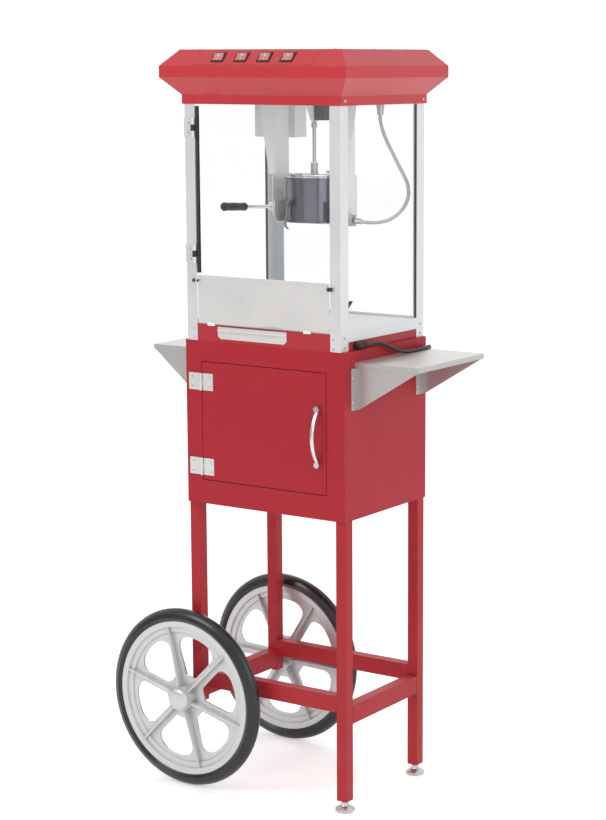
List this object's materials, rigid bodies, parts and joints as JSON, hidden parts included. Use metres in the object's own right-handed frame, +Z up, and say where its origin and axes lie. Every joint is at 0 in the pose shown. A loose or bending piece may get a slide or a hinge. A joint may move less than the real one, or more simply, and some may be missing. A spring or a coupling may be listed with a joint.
{
  "type": "popcorn cart",
  "caption": "Glass-cased popcorn machine with a hanging kettle, topper and switches, on a cabinet cart with side shelves and large spoked wheels.",
  "frame": {"origin": "middle of the bounding box on the floor; the cart body itself stands 17 mm to the +X side of it because the wheels overhang on the left", "axes": "+Z up; the front with the cabinet door, crumb drawer, flap and glass door faces -Y; the big wheels are on the left, -X; the levelling feet are on the right, +X"},
  "size_m": [0.7609, 0.45, 1.6126],
  "materials": {
    "frame_red": "powder-coated square tube, semi-gloss red",
    "cabinet_red": "powder-coated sheet, semi-gloss red",
    "topper_red": "powder-coated sheet, glossy red",
    "wheel_silver": "silver-painted cast wheel",
    "tyre": "solid black tyre",
    "zinc": "zinc-plated steel",
    "stainless": "stainless sheet",
    "alloy": "satin anodised profile and sheet",
    "glass": "clear pane",
    "pot_steel": "polished dark steel",
    "dark_steel": "dark steel",
    "chrome": "polished steel",
    "black_plastic": "black moulded plastic",
    "white_plastic": "white moulded plastic",
    "rocker": "pale translucent red plastic",
    "rubber": "black rubber",
    "lamp_glass": "frosted lamp glass"
  },
  "bodies": {
    "cart": {"frame_legs": "frame_red", "frame_bars": "frame_red", "axle": "zinc", "axle_hardware": "zinc", "cabinet_shell": "cabinet_red", "magnet_catches": "white_plastic", "shelf_right": "stainless", "shelf_left": "stainless", "shelf_brackets": "stainless", "screws": "zinc", "machine_base": "topper_red", "case_floor": "stainless", "deck_heater": "dark_steel", "case_frame": "alloy", "fixed_panes": "glass", "pane_gaskets": "rubber", "fixed_hinge_leaves": "zinc", "flap_knobs": "black_plastic", "topper_shell": "topper_red", "ceiling_plate": "stainless", "gear_motor": "dark_steel", "kettle_hangers": "alloy", "kettle_conduit": "alloy", "conduit_fittings": "zinc", "lamp_shroud": "stainless", "lamp_bulb": "lamp_glass", "switch_bezels": "black_plastic", "cord_gland": "black_plastic", "power_cord": "rubber", "power_cord_coil": "rubber", "power_plug": "black_plastic"},
    "wheel_front": {"wheel_rim_front": "wheel_silver", "wheel_tyre_front": "tyre", "wheel_cap_front": "wheel_silver"},
    "wheel_rear": {"wheel_rim_rear": "wheel_silver", "wheel_tyre_rear": "tyre", "wheel_cap_rear": "wheel_silver"},
    "foot_front": {"levelling_foot_front": "zinc"},
    "foot_rear": {"levelling_foot_rear": "zinc"},
    "cabinet_door": {"cabinet_door": "cabinet_red", "cabinet_door_hinge_leaves": "zinc", "door_handle": "chrome"},
    "drawer": {"crumb_drawer": "stainless"},
    "glass_door": {"glass_door": "glass", "glass_door_edge": "rubber", "glass_door_hinge_leaves": "black_plastic"},
    "flap": {"front_flap": "stainless"},
    "kettle": {"kettle_pot": "pot_steel", "kettle_bridge": "stainless", "kettle_cradle": "stainless", "kettle_lever": "chrome", "kettle_grip": "black_plastic"},
    "lid_front": {"kettle_lid_front": "chrome"},
    "lid_rear": {"kettle_lid_rear": "chrome"},
    "agitator": {"agitator": "zinc"},
    "shaft": {"drive_shaft": "zinc"},
    "rocker_light": {"switch_light": "rocker"},
    "rocker_motor": {"switch_motor": "rocker"},
    "rocker_kettle": {"switch_kettle": "rocker"},
    "rocker_warmer": {"switch_warmer": "rocker"}
  },
  "joints": [
    {"name": "wheel_front_spin", "type": "hinge", "parent": "cart", "child": "wheel_front", "pos_m": [-0.1805, -0.189, 0.2], "axis": [0, 1, 0], "continuous": true},
    {"name": "wheel_rear_spin", "type": "hinge", "parent": "cart", "child": "wheel_rear", "pos_m": [-0.1805, 0.189, 0.2], "axis": [0, 1, 0], "continuous": true},
    {"name": "foot_front_extend", "type": "slide", "parent": "cart", "child": "foot_front", "axis": [0, 0, -1], "range_m": [0, 0.015]},
    {"name": "foot_rear_extend", "type": "slide", "parent": "cart", "child": "foot_rear", "axis": [0, 0, -1], "range_m": [0, 0.015]},
    {"name": "cabinet_door_hinge", "type": "hinge", "parent": "cart", "child": "cabinet_door", "pos_m": [-0.148, -0.163, 0.82], "axis": [0, 0, -1], "range_deg": [0, 110]},
    {"name": "glass_door_hinge", "type": "hinge", "parent": "cart", "child": "glass_door", "pos_m": [-0.157, -0.1665, 1.3], "axis": [0, 0, -1], "range_deg": [0, 110]},
    {"name": "flap_swing", "type": "hinge", "parent": "cart", "child": "flap", "pos_m": [0.017, -0.1655, 1.124], "axis": [-1, 0, 0], "range_deg": [0, 85]},
    {"name": "drawer_slide", "type": "slide", "parent": "cart", "child": "drawer", "axis": [0, -1, 0], "range_m": [0, 0.2]},
    {"name": "kettle_tilt", "type": "hinge", "parent": "cart", "child": "kettle", "pos_m": [0.017, 0.034, 1.272], "axis": [1, 0, 0], "range_deg": [0, 100]},
    {"name": "shaft_spin", "type": "hinge", "parent": "cart", "child": "shaft", "pos_m": [0.017, 0.034, 1.4], "axis": [0, 0, 1], "continuous": true},
    {"name": "agitator_spin", "type": "hinge", "parent": "kettle", "child": "agitator", "pos_m": [0.017, 0.034, 1.3], "axis": [0, 0, 1], "continuous": true},
    {"name": "lid_front_hinge", "type": "hinge", "parent": "kettle", "child": "lid_front", "pos_m": [0.017, 0.017, 1.3442], "axis": [-1, 0, 0], "range_deg": [0, 92]},
    {"name": "lid_rear_hinge", "type": "hinge", "parent": "kettle", "child": "lid_rear", "pos_m": [0.017, 0.051, 1.3442], "axis": [1, 0, 0], "range_deg": [0, 92]},
    {"name": "rocker_light_press", "type": "hinge", "parent": "cart", "child": "rocker_light", "pos_m": [-0.0733, -0.17954, 1.59263], "axis": [-1, 0, 0], "range_deg": [0, 16]},
    {"name": "rocker_motor_press", "type": "hinge", "parent": "cart", "child": "rocker_motor", "pos_m": [-0.014, -0.17954, 1.59263], "axis": [-1, 0, 0], "range_deg": [0, 16]},
    {"name": "rocker_kettle_press", "type": "hinge", "parent": "cart", "child": "rocker_kettle", "pos_m": [0.0447, -0.17954, 1.59263], "axis": [-1, 0, 0], "range_deg": [0, 16]},
    {"name": "rocker_warmer_press", "type": "hinge", "parent": "cart", "child": "rocker_warmer", "pos_m": [0.103, -0.17954, 1.59263], "axis": [-1, 0, 0], "range_deg": [0, 16]}
  ],
  "couplings": [
    {"joint": "shaft_spin", "follows": "agitator_spin", "ratio": 1}
  ]
}
